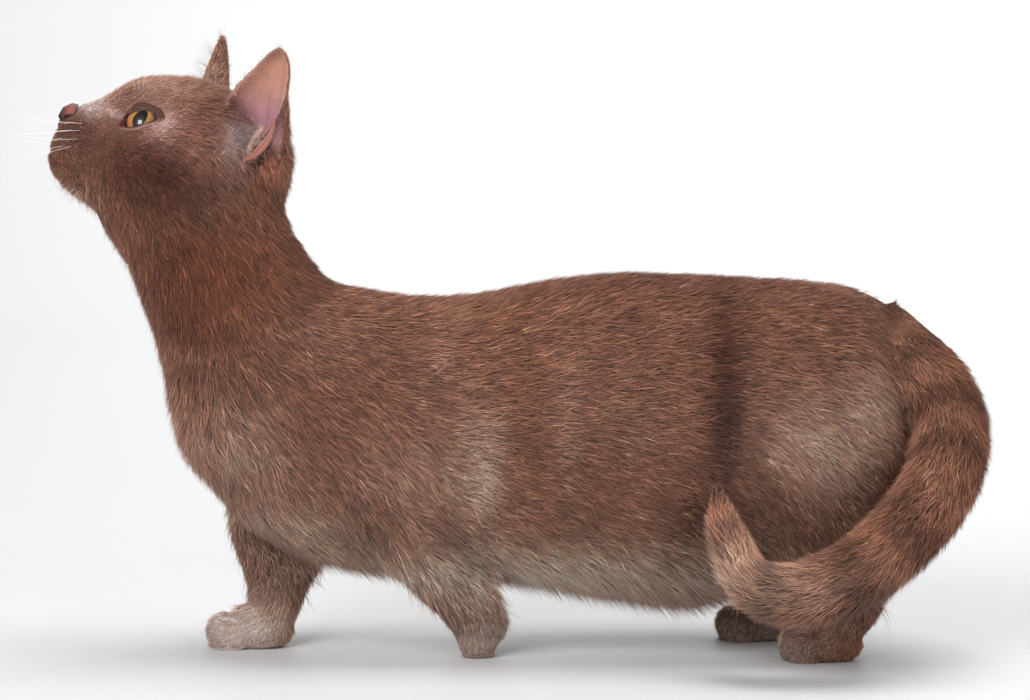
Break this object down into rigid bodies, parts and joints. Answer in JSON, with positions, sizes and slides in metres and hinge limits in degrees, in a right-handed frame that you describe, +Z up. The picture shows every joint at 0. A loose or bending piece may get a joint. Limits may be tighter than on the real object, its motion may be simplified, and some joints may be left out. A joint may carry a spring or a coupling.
{
  "type": "munchkin cat model",
  "caption": "Life-size munchkin cat in mid-step: long level trunk on short legs, head raised and looking forward, cupped ears, tail swept round beside the hind leg.",
  "frame": {"origin": "on the floor, below the middle of the outline's bounding box", "axes": "+Z up, the cat faces -X, its left side is on the -Y side and is the side the picture shows, +X towards the tail"},
  "size_m": [0.3988, 0.1522, 0.2655],
  "materials": {
    "coat": "short dense fur, warm grey-brown, matte",
    "nose_leather": "bare dark rose-brown skin, slightly moist",
    "eye": "wet amber iris with a dark upright pupil, glossy"
  },
  "bodies": {
    "root": {"head": "coat", "nose": "nose_leather", "eye_left": "eye", "eye_right": "eye", "ear_left": "coat", "ear_right": "coat", "neck": "coat", "torso": "coat", "foreleg_left": "coat", "foreleg_right": "coat", "forepaw_left": "coat", "forepaw_right": "coat", "hindleg_left": "coat", "hindleg_right": "coat", "hindpaw_left": "coat", "hindpaw_right": "coat", "tail_base": "coat", "tail_middle": "coat", "tail_tip": "coat"}
  },
  "joints": []
}
